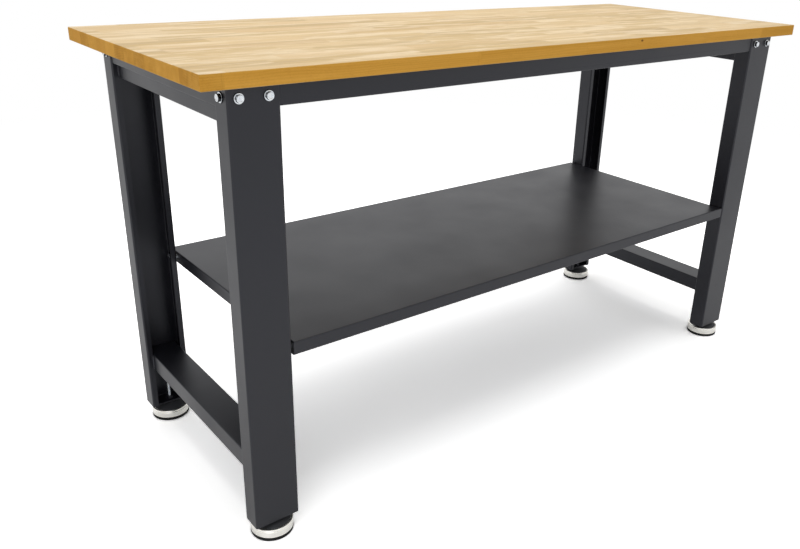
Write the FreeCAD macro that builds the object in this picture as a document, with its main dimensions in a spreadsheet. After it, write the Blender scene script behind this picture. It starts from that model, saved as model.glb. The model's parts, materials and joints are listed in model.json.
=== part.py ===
"""Assembly table: a steel frame on levelling feet, with a solid wood top and a steel tray shelf.

Frame of reference: millimetres, +X along the top, +Y to the back, +Z up. The origin is on the floor
under the middle of the table.
"""
import FreeCAD, Part
import os
import re
import Sketcher

# Driving dimensions, in millimetres, with what each one measures.
DIMENSIONS = [
    ("top_length", 1800, "worktop along X"),
    ("top_width", 684, "worktop along Y"),
    ("top_thickness", 28, "worktop board"),
    ("top_edge_round", 1.5, "round on the worktop's edges"),
    ("table_height", 984, "floor to worktop surface, feet screwed in"),
    ("frame_length", 1686, "outer face to outer face of the legs along X"),
    ("frame_width", 620, "outer face to outer face of the legs along Y"),
    ("leg_width", 100, "leg's broad face"),
    ("leg_depth", 48.5, "leg's side"),
    ("leg_lip", 14.25, "return lip of the leg's channel"),
    ("leg_sheet", 3, "leg's sheet"),
    ("leg_bottom", 38, "floor to the leg's lower end"),
    ("bend_inside", 1, "inside radius of every fold"),
    ("seat_play", 0.5, "play under the ring where it sits in a leg"),
    ("rail_height", 43.5, "top ring's rails"),
    ("rail_sheet", 2, "rail's sheet"),
    ("rail_flange", 34, "rail's top flange"),
    ("rail_lip", 12, "rail's bottom return"),
    ("tube_wall", 2, "crossbar and stretcher wall"),
    ("tube_round", 2.5, "crossbar and stretcher corner"),
    ("crossbar_height", 31.5, "top crossbar"),
    ("stretcher_height", 43.5, "lower stretcher"),
    ("stretcher_top", 190, "floor to the lower stretcher's upper face"),
    ("shelf_top", 446.5, "floor to the shelf's surface"),
    ("shelf_height", 29, "shelf's folded edge"),
    ("shelf_sheet", 2, "shelf's sheet"),
    ("shelf_return", 16, "shelf's return under its long edges"),
    ("shelf_gap", 4.7, "gap between shelf and leg"),
    ("stiffener_width", 50, "stiffener's web"),
    ("stiffener_height", 20, "stiffener under the shelf"),
    ("stiffener_foot", 14, "stiffener's welding flange"),
    ("stiffener_sheet", 1.5, "stiffener's sheet"),
    ("stiffener_offset", 120, "stiffener's middle from the shelf's middle"),
    ("stiffener_end", 20, "stiffener's end from the shelf's end"),
    ("bolt_spacing", 56, "between the two bolts on a leg's broad face"),
    ("bolt_drop", 22.5, "worktop's underside to the frame bolts"),
    ("side_bolt_inset", 24, "leg's broad face to the bolt on its side"),
    ("bolt_diameter", 8, "frame bolt"),
    ("bolt_length", 13.5, "frame bolt, from the leg's face to its tip"),
    ("bolt_flats", 13, "frame bolt's head across flats"),
    ("bolt_head", 5.3, "frame bolt's head height"),
    ("washer_diameter", 20.5, "frame bolt's washer"),
    ("washer_thickness", 1.8, "frame bolt's washer"),
    ("nut_height", 6.5, "frame bolt's nut"),
    ("hole_play", 0.5, "radial play of a clearance hole"),
    ("shelf_bolt_diameter", 8, "shelf bolt"),
    ("shelf_bolt_flats", 13, "shelf bolt's head across flats"),
    ("shelf_bolt_head", 5.3, "shelf bolt's head height"),
    ("shelf_bolt_spacing", 17, "between the two shelf bolts of a leg"),
    ("shelf_bolt_inset", 26.5, "leg's broad face to the middle of its shelf bolts"),
    ("shelf_nut_height", 6.5, "shelf bolt's nut"),
    ("shelf_bolt_tip", 1.5, "shelf bolt past its nut"),
    ("spacer_diameter", 14, "spacer between shelf and leg"),
    ("screw_diameter", 3.5, "worktop screw"),
    ("screw_play", 0.2, "radial play of a worktop screw in its rail"),
    ("screw_depth", 20, "worktop screw in the wood"),
    ("screw_head_diameter", 8, "worktop screw's head"),
    ("screw_head_height", 2.6, "worktop screw's head"),
    ("screw_pitch", 350, "between worktop screws along a long rail"),
    ("screw_side", 150, "worktop screws on an end rail, from its middle"),
    ("screw_inset", 22, "worktop screw from the rail's outer face"),
    ("plate_thickness", 4, "leg's end plate"),
    ("plate_round", 1.5, "end plate's corner"),
    ("foot_inset", 30, "leg's broad face to the foot's axis"),
    ("stud_diameter", 10, "levelling stud's thread"),
    ("stud_flats", 17, "levelling stud's collar and weld nut across flats"),
    ("stud_play", 0.08, "radial play of the stud in nut and cap"),
    ("stud_top", 128, "floor to the stud's upper end"),
    ("stud_bottom", 13, "floor to the stud's lower end"),
    ("stud_end_play", 0.3, "play under the stud's lower end in the cap"),
    ("foot_travel", 25, "levelling travel, from screwed in to screwed out"),
    ("collar_top", 37.7, "floor to the top of the stud's hex collar"),
    ("collar_height", 4.4, "stud's hex collar"),
    ("weld_nut_height", 8, "nut welded on the end plate"),
    ("foot_diameter", 91, "foot's band and pad"),
    ("rim_chamfer", 1, "chamfer of the pad's and the band's rim"),
    ("pad_thickness", 8.5, "rubber pad"),
    ("band_top", 27.5, "floor to the top of the foot's band"),
    ("band_wall", 2, "foot's band"),
    ("band_bead", 3.5, "rolled bead at the top of the band"),
    ("band_bead_lip", 3.5, "bead's reach over the cap"),
    ("band_groove", 1.1, "groove under the bead"),
    ("cap_boss_diameter", 26, "flat middle of the foot's cap"),
    ("cap_top", 33, "floor to the top of the foot's cap"),
    ("cap_shoulder", 26.3, "floor to the cap's outer edge"),
    ("cut_margin", 1, "how far a cut runs past what it cuts"),
]

PLANES = {"top": "XY_Plane", "front": "XZ_Plane", "side": "YZ_Plane"}
ORIGIN_POINT = (-1, 1)
START, END, CENTRE = 1, 2, 3
SAME_PLACE = 1e-4  # two places this near each other, in millimetres, are one
NODES = []

doc = FreeCAD.newDocument("AssemblyTable")


def make_sheet():
    """The spreadsheet that holds the driving dimensions, one aliased cell a row."""
    dims = doc.addObject("Spreadsheet::Sheet", "Dims")
    for row, (alias, value, meaning) in enumerate(DIMENSIONS, start=1):
        dims.set(f"A{row}", meaning)
        dims.set(f"B{row}", str(value))
        dims.setAlias(f"B{row}", alias)
    doc.recompute()
    return dims


sheet = make_sheet()


def cells(expression):
    """Write each dimension's name in an expression as the sheet's cell of that name."""
    names = "|".join(alias for alias, _, _ in DIMENSIONS)
    return re.sub(rf"\b({names})\b", r"Dims.\1", expression)


def size(expression):
    """The number that an expression in the driving dimensions gives."""
    return float(sheet.evalExpression(cells(expression)))


def bind(thing, name, expression):
    """Tie a property of a document object to the sheet."""
    thing.setExpression(name, cells(expression))


def make_body(label):
    """A PartDesign body whose label names the piece."""
    body = doc.addObject("PartDesign::Body", label)
    body.Label = label
    return body


def node(thing):
    """Mark a document object as a sub-part that gets its own file."""
    NODES.append(thing)
    return thing


def place(thing, x="0", y="0", z="0", turn=0):
    """Put a piece at a place given by expressions, turned about the vertical by degrees."""
    thing.Placement = FreeCAD.Placement(FreeCAD.Vector(), FreeCAD.Rotation(FreeCAD.Vector(0, 0, 1), turn))
    for axis, expression in zip("xyz", (x, y, z)):
        bind(thing, f"Placement.Base.{axis}", expression)


def make_sketch(body, plane, offset="0"):
    """An empty sketch on one of the body's own planes, moved along the plane's normal by offset."""
    sketch = body.newObject("Sketcher::SketchObject", f"{body.Name}_outline")
    role = PLANES[plane]
    support = next(f for f in body.Origin.OriginFeatures if f.Role == role)
    sketch.AttachmentSupport = [(support, "")]
    sketch.MapMode = "FlatFace"
    bind(sketch, "AttachmentOffset.Base.z", offset)
    return sketch


def locate(sketch, geometry, point, x, y):
    """Fix a sketch point at expressions measured from the sketch's origin."""
    for kind, expression in (("DistanceX", x), ("DistanceY", y)):
        name = f"{kind}_{geometry}_{point}"
        rule = Sketcher.Constraint(kind, *ORIGIN_POINT, geometry, point, size(expression))
        sketch.renameConstraint(sketch.addConstraint(rule), name)
        bind(sketch, f"Constraints.{name}", expression)


def draw_polygon(sketch, corners):
    """A closed outline through corners, each an (x, y) pair of expressions."""
    points = [FreeCAD.Vector(size(x), size(y), 0) for x, y in corners]
    lines = [sketch.addGeometry(Part.LineSegment(a, b)) for a, b in zip(points, points[1:] + points[:1])]
    for line, following in zip(lines, lines[1:] + lines[:1]):
        sketch.addConstraint(Sketcher.Constraint("Coincident", line, END, following, START))
    for line, (x, y) in zip(lines, corners):
        locate(sketch, line, START, x, y)


def draw_rectangle(sketch, x_low, x_high, y_low, y_high):
    """A rectangle between expressions."""
    draw_polygon(sketch, [(x_low, y_low), (x_high, y_low), (x_high, y_high), (x_low, y_high)])


def draw_hexagon(sketch, flats):
    """A hexagon about the sketch's origin, two of its sides square to Y."""
    corner, half = f"({flats}) / sqrt(3)", f"({flats}) / 2"
    draw_polygon(sketch, [
        (corner, "0"), (f"{corner} / 2", half), (f"-{corner} / 2", half),
        (f"-{corner}", "0"), (f"-{corner} / 2", f"-{half}"), (f"{corner} / 2", f"-{half}"),
    ])


def draw_circle(sketch, x, y, diameter):
    """A circle at expressions, sized by an expression."""
    middle = FreeCAD.Vector(size(x), size(y), 0)
    circle = sketch.addGeometry(Part.Circle(middle, FreeCAD.Vector(0, 0, 1), size(diameter) / 2))
    locate(sketch, circle, CENTRE, x, y)
    name = f"Diameter_{circle}"
    rule = Sketcher.Constraint("Diameter", circle, size(diameter))
    sketch.renameConstraint(sketch.addConstraint(rule), name)
    bind(sketch, f"Constraints.{name}", diameter)


def settle(feature):
    """Compute a new feature, and stop there if it fails."""
    doc.recompute()
    if "Invalid" in feature.State or "Error" in feature.State:
        raise RuntimeError(f"{feature.Label}: {feature.State}")
    return feature


def pad(body, sketch, length, side="One side"):
    """Extrude a sketch by an expression."""
    feature = body.newObject("PartDesign::Pad", f"{body.Name}_pad")
    feature.Profile = sketch
    feature.SideType = side
    bind(feature, "Length", length)
    return settle(feature)


def pocket(body, sketch, length, side="One side"):
    """Cut a sketch into the body by an expression, and make sure that it cuts something."""
    before = body.Shape.Volume
    feature = body.newObject("PartDesign::Pocket", f"{body.Name}_pocket")
    feature.Profile = sketch
    feature.SideType = side
    bind(feature, "Length", length)
    settle(feature)
    if body.Shape.Volume >= before:
        raise RuntimeError(f"{feature.Label} removes nothing")
    return feature


def revolve(body, sketch, kind="PartDesign::Revolution"):
    """Turn a sketch once round its own vertical axis."""
    feature = body.newObject(kind, f"{body.Name}_turned")
    feature.Profile = sketch
    feature.ReferenceAxis = (sketch, ["V_Axis"])
    return settle(feature)


def round_edges(body, radius, chosen, kind="Fillet"):
    """Round, or chamfer, the edges of the body for which chosen(edge) is true."""
    base = body.Tip
    names = [f"Edge{i}" for i, edge in enumerate(base.Shape.Edges, start=1) if chosen(edge)]
    feature = body.newObject(f"PartDesign::{kind}", f"{body.Name}_{kind.lower()}")
    feature.Base = (base, names)
    bind(feature, "Radius" if kind == "Fillet" else "Size", radius)
    return settle(feature)


def along(direction, *corners):
    """Choose straight edges along one axis that pass through the given corners of the other two.

    A corner is a pair of expressions; a fold's corners are the sheet's outer or inner ones.
    """
    others = [i for i in range(3) if i != "xyz".index(direction)]
    spots = [(size(a), size(b)) for a, b in corners]

    def chosen(edge):
        ends = [vertex.Point for vertex in edge.Vertexes]
        if len(ends) != 2:
            return False
        held = [[end[i] for i in others] for end in ends]
        return any(all(abs(p[0] - a) + abs(p[1] - b) < SAME_PLACE for p in held) for a, b in spots)

    return chosen


def fold(body, direction, sheet_size, outer, inner):
    """Round a folded sheet's corners: the inside radius within, and that plus the sheet outside."""
    round_edges(body, f"bend_inside + {sheet_size}", along(direction, *outer))
    round_edges(body, "bend_inside", along(direction, *inner))


def hole(body, plane, offset, x, y, diameter, depth):
    """A round hole through the sheet that lies at offset from a plane of the body."""
    sketch = make_sketch(body, plane, offset)
    draw_circle(sketch, x, y, diameter)
    return pocket(body, sketch, depth, "Symmetric")


LEG_X = "(frame_length - leg_width) / 2"
LEG_Y = "frame_width / 2"
WOOD_UNDERSIDE = "(table_height - top_thickness)"
BOLT_HOLE = "bolt_diameter + 2 * hole_play"
LONG_RAIL_SCREWS = [f"{step} * screw_pitch" for step in range(-2, 3)]
END_RAIL_SCREWS = ["-screw_side", "screw_side"]
CORNERS = [("front_left", -1, -1), ("front_right", 1, -1), ("rear_left", -1, 1), ("rear_right", 1, 1)]


def screw_places():
    """Worktop screws as (x, y) expressions, along the long rails and then the end rails."""
    long_y = "frame_width / 2 - leg_sheet - screw_inset"
    end_x = "frame_length / 2 - leg_sheet - screw_inset"
    places = [(x, f"{side} * ({long_y})") for side in (-1, 1) for x in LONG_RAIL_SCREWS]
    places += [(f"{end} * ({end_x})", y) for end in (-1, 1) for y in END_RAIL_SCREWS]
    return places


def make_worktop():
    """The wood board, with a blind pilot hole for each screw in its underside."""
    body = make_body("worktop")
    outline = make_sketch(body, "top")
    draw_rectangle(outline, "-top_length / 2", "top_length / 2", "-top_width / 2", "top_width / 2")
    pad(body, outline, "top_thickness")
    round_edges(body, "top_edge_round", lambda edge: True)
    for x, y in screw_places():
        hole(body, "top", "0", x, y, "screw_diameter", "2 * screw_depth")
    place(body, z=WOOD_UNDERSIDE)
    return node(body)


def make_leg(name, right, rear):
    """A lipped channel leg. Its local Y runs from the broad face inwards, its local Z from the lower end.

    The broad face and the outer side stay whole to the top. The inner side and both lips are cut down
    there, so that the ring sits in the corner.
    """
    body = make_body(f"leg_{name}")
    outer = right * rear * -1
    half, wall, deep, lip = "leg_width / 2", "leg_sheet", "leg_depth", "leg_lip"
    tall = f"({WOOD_UNDERSIDE} - leg_bottom)"
    outline = make_sketch(body, "top")
    draw_polygon(outline, [
        (f"-{half}", "0"), (half, "0"), (half, deep), (f"{half} - {lip}", deep),
        (f"{half} - {lip}", f"{deep} - {wall}"), (f"{half} - {wall}", f"{deep} - {wall}"),
        (f"{half} - {wall}", wall), (f"{wall} - {half}", wall),
        (f"{wall} - {half}", f"{deep} - {wall}"), (f"{lip} - {half}", f"{deep} - {wall}"),
        (f"{lip} - {half}", deep), (f"-{half}", deep),
    ])
    pad(body, outline, tall)
    outside = [(f"{s} * {half}", y) for s in (-1, 1) for y in ("0", deep)]
    inside = [(f"{s} * ({half} - {wall})", y) for s in (-1, 1) for y in (wall, f"{deep} - {wall}")]
    fold(body, "z", wall, outside, inside)

    notch = make_sketch(body, "top", tall)
    seat = [f"{outer} * ({half} - {wall})", f"{-outer} * ({half} + cut_margin)"]
    draw_rectangle(notch, *sorted(seat, key=size), wall, f"{deep} + cut_margin")
    pocket(body, notch, "rail_height + seat_play")

    through = "2 * (leg_sheet + cut_margin)"
    bolt_z = f"{tall} - bolt_drop"
    for step in (-1, 1):
        hole(body, "front", "0", f"{step} * bolt_spacing / 2", bolt_z, BOLT_HOLE, through)
    hole(body, "side", f"{outer} * {half}", "side_bolt_inset", bolt_z, BOLT_HOLE, through)
    shelf_z = "shelf_top - shelf_height / 2 - leg_bottom"
    for step in (-1, 1):
        hole(body, "side", f"{-outer} * {half}", f"shelf_bolt_inset + {step} * shelf_bolt_spacing / 2",
             shelf_z, "shelf_bolt_diameter + 2 * hole_play", through)
    place(body, f"{right} * {LEG_X}", f"{rear} * {LEG_Y}", "leg_bottom", 180 if rear > 0 else 0)
    return node(body)


def make_foot_plate(name, right, rear):
    """The plate welded across a leg's lower end, bored for the levelling stud."""
    body = make_body(f"foot_plate_{name}")
    half = "(leg_width / 2 - leg_sheet)"
    outline = make_sketch(body, "top")
    draw_rectangle(outline, f"-{half}", half, "leg_sheet", "leg_depth - leg_sheet")
    draw_circle(outline, "0", "foot_inset", "stud_diameter + 2 * hole_play")
    pad(body, outline, "plate_thickness")
    spots = [(f"{s} * {half}", y) for s in (-1, 1) for y in ("leg_sheet", "leg_depth - leg_sheet")]
    round_edges(body, "plate_round", along("z", *spots))
    place(body, f"{right} * {LEG_X}", f"{rear} * {LEG_Y}", "leg_bottom", 180 if rear > 0 else 0)
    return node(body)


def cut_head_corners(body, flats, top):
    """Chamfer a hexagon's corners at 30 degrees, down from the face at top."""
    reach = f"({flats} / sqrt(3) + cut_margin)"
    groove = make_sketch(body, "front")
    draw_polygon(groove, [
        (f"{flats} / 2", top), (reach, top), (reach, f"{top} - ({reach} - {flats} / 2) * tan(30)"),
    ])
    revolve(body, groove, "PartDesign::Groove")


def make_weld_nut(name, right, rear):
    """The hex nut welded on a foot plate. Its bore is the thread's outside."""
    body = make_body(f"weld_nut_{name}")
    outline = make_sketch(body, "top")
    draw_hexagon(outline, "stud_flats")
    draw_circle(outline, "0", "0", "stud_diameter + 2 * stud_play")
    pad(body, outline, "weld_nut_height")
    cut_head_corners(body, "stud_flats", "weld_nut_height")
    place(body, f"{right} * {LEG_X}", f"{rear} * ({LEG_Y} - foot_inset)", "leg_bottom + plate_thickness")
    return node(body)


def make_rail(name, length, x, y, turn, bolt_spots, screw_spots):
    """A lipped angle with mitred ends: web outside, top flange under the wood, bottom return.

    Its local X runs along it and its local Y from the web inwards. bolt_spots and screw_spots are
    expressions for the holes' places along it.
    """
    body = make_body(name)
    wall, high, wide, lip = "rail_sheet", "rail_height", "rail_flange", "rail_lip"
    outline = make_sketch(body, "side")
    draw_polygon(outline, [
        ("0", "0"), (lip, "0"), (lip, wall), (wall, wall), (wall, f"{high} - {wall}"),
        (wide, f"{high} - {wall}"), (wide, high), ("0", high),
    ])
    pad(body, outline, length, "Symmetric")
    fold(body, "x", wall, [("0", "0"), ("0", high)], [(wall, wall), (wall, f"{high} - {wall}")])
    for end in (-1, 1):
        mitre = make_sketch(body, "top", high)
        tip = f"{end} * ({length}) / 2"
        draw_polygon(mitre, [
            (tip, "0"), (f"{tip} + {end} * cut_margin", "0"),
            (f"{tip} + {end} * cut_margin", f"{wide} + cut_margin"),
            (f"{tip} - {end} * ({wide} + cut_margin)", f"{wide} + cut_margin"),
        ])
        pocket(body, mitre, high)
    through = "2 * (rail_sheet + cut_margin)"
    for spot in bolt_spots:
        hole(body, "front", "0", spot, f"{high} - bolt_drop", BOLT_HOLE, through)
    for spot in screw_spots:
        hole(body, "top", high, spot, "screw_inset", "screw_diameter + 2 * screw_play", through)
    place(body, x, y, f"{WOOD_UNDERSIDE} - {high}", turn)
    return node(body)


def make_ring():
    """The four mitred rails of the top ring, seated against the insides of the legs."""
    long_side, end_side = "(frame_length - 2 * leg_sheet)", "(frame_width - 2 * leg_sheet)"
    long_bolts = [f"{a} * {LEG_X} + {b} * bolt_spacing / 2" for a in (-1, 1) for b in (-1, 1)]
    end_bolts = [f"{a} * (frame_width / 2 - side_bolt_inset)" for a in (-1, 1)]
    make_rail("rail_front", long_side, "0", f"-{end_side} / 2", 0, long_bolts, LONG_RAIL_SCREWS)
    make_rail("rail_rear", long_side, "0", f"{end_side} / 2", 180, long_bolts, LONG_RAIL_SCREWS)
    make_rail("rail_left", end_side, f"-{long_side} / 2", "0", -90, end_bolts, END_RAIL_SCREWS)
    make_rail("rail_right", end_side, f"{long_side} / 2", "0", 90, end_bolts, END_RAIL_SCREWS)


def make_tube(name, right, height, top):
    """A rectangular tube along Y that fills the legs' openings and ends on their webs."""
    body = make_body(name)
    half, wall = "(leg_width / 2 - leg_lip)", "tube_wall"
    outline = make_sketch(body, "front")
    draw_rectangle(outline, f"-{half}", half, f"-{height}", "0")
    draw_rectangle(outline, f"{wall} - {half}", f"{half} - {wall}", f"{wall} - {height}", f"-{wall}")
    pad(body, outline, "frame_width - 2 * leg_sheet", "Symmetric")
    outside = [(f"{s} * {half}", z) for s in (-1, 1) for z in ("0", f"-{height}")]
    inside = [(f"{s} * ({half} - {wall})", z) for s in (-1, 1) for z in (f"-{wall}", f"{wall} - {height}")]
    round_edges(body, "tube_round", along("y", *outside))
    round_edges(body, "tube_round - tube_wall", along("y", *inside))
    place(body, f"{right} * {LEG_X}", "0", top)
    return node(body)


SHELF_HALF = "(frame_length / 2 - leg_width - shelf_gap)"


def shelf_bolt_places():
    """Shelf bolts as (end, y expression) pairs, two at each leg."""
    offset = "frame_width / 2 - shelf_bolt_inset"
    return [(end, f"{rear} * ({offset} + {step} * shelf_bolt_spacing / 2)")
            for end in (-1, 1) for rear in (-1, 1) for step in (-1, 1)]


def make_shelf():
    """The tray: long edges folded down and back under, ends folded down, corners welded and ground."""
    body = make_body("shelf")
    deep, high, wall = "frame_width / 2", "shelf_height", "shelf_sheet"
    inner_x, inner_y = f"({SHELF_HALF} - {wall})", f"({deep} - {wall})"
    outline = make_sketch(body, "top", f"-{high}")
    draw_rectangle(outline, f"-{SHELF_HALF}", SHELF_HALF, f"-{deep}", deep)
    pad(body, outline, high)
    folds = [along("x", *[(f"{s} * {deep}", z) for s in (-1, 1) for z in ("0", f"-{high}")]),
             along("y", (f"-{SHELF_HALF}", "0"), (SHELF_HALF, "0"))]
    round_edges(body, f"bend_inside + {wall}", lambda edge: any(chosen(edge) for chosen in folds))

    hollow = make_sketch(body, "top", f"-{wall}")
    draw_rectangle(hollow, f"-{inner_x}", inner_x, f"-{inner_y}", inner_y)
    pocket(body, hollow, high)
    round_edges(body, "bend_inside", along("x", (f"-{inner_y}", f"-{wall}"), (inner_y, f"-{wall}")))
    for end, y in shelf_bolt_places():
        hole(body, "side", f"{end} * {SHELF_HALF}", y, f"-{high} / 2",
             "shelf_bolt_diameter + 2 * hole_play", "2 * (shelf_sheet + cut_margin)")
    for side in (-1, 1):
        lip = make_sketch(body, "top", f"-{high}")
        edges = [f"{side} * ({deep} - bend_inside - {wall})", f"{side} * ({deep} - shelf_return)"]
        draw_rectangle(lip, f"-{inner_x}", inner_x, *sorted(edges, key=size))
        pad(body, lip, wall)
    place(body, z="shelf_top")
    return node(body)


def make_stiffener(name, rear):
    """A hat section welded along the underside of the shelf sheet."""
    body = make_body(name)
    half, high, wall, foot = "stiffener_width / 2", "stiffener_height", "stiffener_sheet", "stiffener_foot"
    right_half = [
        (f"{half} + {foot}", "0"), (f"{half} + {foot}", f"-{wall}"), (half, f"-{wall}"), (half, f"-{high}"),
    ]
    left_half = [(f"-({x})", z) for x, z in reversed(right_half)]
    inner = [(f"{wall} - {half}", f"{wall} - {high}"), (f"{half} - {wall}", f"{wall} - {high}")]
    outline = make_sketch(body, "side")
    draw_polygon(outline, right_half + left_half
                 + [(f"{wall} - {half}", "0"), inner[0], inner[1], (f"{half} - {wall}", "0")])
    pad(body, outline, f"2 * ({SHELF_HALF} - stiffener_end)", "Symmetric")
    fold(body, "x", wall, [(half, f"-{high}"), (f"-({half})", f"-{high}")], inner)
    place(body, "0", f"{rear} * stiffener_offset", "shelf_top - shelf_sheet")
    return node(body)


def make_stud(name, right, rear):
    """A levelling stud: threaded shank, hex collar to turn it by, and a plain end in the foot's cap."""
    body = make_body(f"levelling_stud_{name}")
    shank = make_sketch(body, "top", "stud_bottom")
    draw_circle(shank, "0", "0", "stud_diameter")
    pad(body, shank, "stud_top - stud_bottom")
    collar = make_sketch(body, "top", "collar_top - collar_height")
    draw_hexagon(collar, "stud_flats")
    pad(body, collar, "collar_height")
    ends = (size("stud_top"), size("stud_bottom"))

    def at_an_end(edge):
        return len(edge.Vertexes) == 1 and any(abs(edge.Vertexes[0].Z - z) < SAME_PLACE for z in ends)

    round_edges(body, "stud_diameter / 10", at_an_end, "Chamfer")
    place(body, f"{right} * {LEG_X}", f"{rear} * ({LEG_Y} - foot_inset)")
    return node(body)


def make_turned_piece(label, right, rear, profile):
    """A piece of a foot, turned from a profile of (radius, height) expressions."""
    body = make_body(label)
    outline = make_sketch(body, "front")
    draw_polygon(outline, profile)
    revolve(body, outline)
    place(body, f"{right} * {LEG_X}", f"{rear} * ({LEG_Y} - foot_inset)")
    return node(body)


def make_foot(name, right, rear):
    """A levelling foot: rubber pad, metal band and the cap that the stud turns in."""
    rim, inner = "foot_diameter / 2", "(foot_diameter / 2 - band_wall)"
    make_turned_piece(f"foot_pad_{name}", right, rear, [
        ("0", "0"), (f"{rim} - rim_chamfer", "0"), (rim, "rim_chamfer"),
        (rim, "pad_thickness"), ("0", "pad_thickness"),
    ])
    neck = f"({rim} - band_groove)"
    lip = f"({inner} - band_bead_lip)"
    make_turned_piece(f"foot_band_{name}", right, rear, [
        (inner, "pad_thickness"), (rim, "pad_thickness"), (rim, "band_top - band_bead - 2 * band_groove"),
        (neck, "band_top - band_bead - band_groove"), (rim, "band_top - band_bead"),
        (rim, "band_top - rim_chamfer"), (f"{rim} - rim_chamfer", "band_top"), (lip, "band_top"),
        (lip, "cap_shoulder"), (inner, "cap_shoulder"),
    ])
    bore = "(stud_diameter / 2 + stud_play)"
    well = "(stud_bottom - stud_end_play)"
    boss = "cap_boss_diameter / 2"
    make_turned_piece(f"foot_cap_{name}", right, rear, [
        ("0", "pad_thickness"), (inner, "pad_thickness"), (inner, "cap_shoulder"), (lip, "cap_shoulder"),
        (lip, "band_top"), (boss, "cap_top"), (bore, "cap_top"), (bore, well), ("0", well),
    ])


def make_hex_bolt(name, diameter, length, flats, head):
    """The pattern of a hex bolt: its shank runs down from the origin, its head stands on it."""
    body = make_body(name)
    shank = make_sketch(body, "top", f"-({length})")
    draw_circle(shank, "0", "0", diameter)
    pad(body, shank, length)
    block = make_sketch(body, "top")
    draw_hexagon(block, flats)
    pad(body, block, head)
    cut_head_corners(body, flats, head)
    return body


def make_nut(name, flats, bore, height):
    """The pattern of a nut: its seat at the origin, its body above."""
    body = make_body(name)
    outline = make_sketch(body, "top")
    draw_hexagon(outline, flats)
    draw_circle(outline, "0", "0", bore)
    pad(body, outline, height)
    cut_head_corners(body, flats, height)
    return body


def make_washer(name, diameter, bore, height):
    """The pattern of a washer or spacer, upwards from the origin."""
    body = make_body(name)
    outline = make_sketch(body, "top")
    draw_circle(outline, "0", "0", diameter)
    draw_circle(outline, "0", "0", bore)
    pad(body, outline, height)
    return body


def make_group(label, pattern, places):
    """One sub-part of equal pieces: a copy of the pattern at each (point, outward direction)."""
    copies = []
    for point, outward in places:
        rotation = FreeCAD.Rotation(FreeCAD.Vector(0, 0, 1), FreeCAD.Vector(*outward))
        copies.append(pattern.Shape.transformed(FreeCAD.Placement(FreeCAD.Vector(*point), rotation).Matrix))
    group = doc.addObject("Part::Feature", label)
    group.Label = label
    group.Shape = Part.makeCompound(copies)
    group.Placement = FreeCAD.Placement()
    return node(group)


def frame_bolt_places(inset, out=1):
    """Where the frame bolts sit, inset millimetres in from the legs' outer faces, and which way they face.

    The direction is outwards for out = 1 and inwards for out = -1.
    """
    z = size(f"{WOOD_UNDERSIDE} - bolt_drop")
    places = []
    for _, right, rear in CORNERS:
        for step in (-1, 1):
            x = size(f"{right} * {LEG_X} + {step} * bolt_spacing / 2")
            places.append(((x, rear * (size(LEG_Y) - inset), z), (0, out * rear, 0)))
        x = right * (size("frame_length / 2") - inset)
        places.append(((x, size(f"{rear} * ({LEG_Y} - side_bolt_inset)"), z), (out * right, 0, 0)))
    return places


def shelf_places(inset, out=1):
    """Where the shelf bolts sit, inset millimetres in from the shelf's end faces, facing out or inwards."""
    z = size("shelf_top - shelf_height / 2")
    x = size(SHELF_HALF) - inset
    return [((end * x, size(y), z), (out * end, 0, 0)) for end, y in shelf_bolt_places()]


def make_fasteners():
    """Every bolt, washer, nut, spacer and screw of the fixed frame, as groups of equal pieces."""
    washer = size("washer_thickness")
    bolt = make_hex_bolt(
        "frame_bolt", "bolt_diameter", "bolt_length + washer_thickness", "bolt_flats", "bolt_head")
    ring = make_washer("frame_washer", "washer_diameter", BOLT_HOLE, "washer_thickness")
    nut = make_nut("frame_nut", "bolt_flats", "bolt_diameter", "nut_height")
    make_group("frame_bolts", bolt, frame_bolt_places(-washer))
    make_group("frame_washers", ring, frame_bolt_places(0))
    make_group("frame_nuts", nut, frame_bolt_places(size("leg_sheet + rail_sheet"), out=-1))

    grip = size("shelf_gap + leg_sheet")
    bolt = make_hex_bolt(
        "shelf_bolt", "shelf_bolt_diameter",
        "leg_sheet + shelf_gap + shelf_sheet + shelf_nut_height + shelf_bolt_tip",
        "shelf_bolt_flats", "shelf_bolt_head")
    spacer = make_washer(
        "shelf_spacer", "spacer_diameter", "shelf_bolt_diameter + 2 * hole_play", "shelf_gap")
    nut = make_nut("shelf_nut", "shelf_bolt_flats", "shelf_bolt_diameter", "shelf_nut_height")
    make_group("shelf_bolts", bolt, shelf_places(-grip))
    make_group("shelf_spacers", spacer, shelf_places(0))
    make_group("shelf_nuts", nut, shelf_places(size("shelf_sheet"), out=-1))

    screw = make_body("worktop_screw")
    head = make_sketch(screw, "top")
    draw_circle(head, "0", "0", "screw_head_diameter")
    pad(screw, head, "screw_head_height")
    shank = make_sketch(screw, "top", "-(screw_depth + rail_sheet)")
    draw_circle(shank, "0", "0", "screw_diameter")
    pad(screw, shank, "screw_depth + rail_sheet")
    z = size(f"{WOOD_UNDERSIDE} - rail_sheet")
    make_group("worktop_screws", screw, [((size(x), size(y), z), (0, 0, -1)) for x, y in screw_places()])


def build():
    """Make every sub-part of the table."""
    make_worktop()
    for corner in CORNERS:
        make_leg(*corner)
        make_foot_plate(*corner)
        make_weld_nut(*corner)
    make_ring()
    for side, right in (("left", -1), ("right", 1)):
        make_tube(f"top_crossbar_{side}", right, "crossbar_height", f"{WOOD_UNDERSIDE} - rail_height")
        make_tube(f"lower_stretcher_{side}", right, "stretcher_height", "stretcher_top")
    make_shelf()
    make_stiffener("shelf_stiffener_front", -1)
    make_stiffener("shelf_stiffener_rear", 1)
    make_fasteners()
    for corner in CORNERS:
        make_foot(*corner)
        make_stud(*corner)


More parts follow.
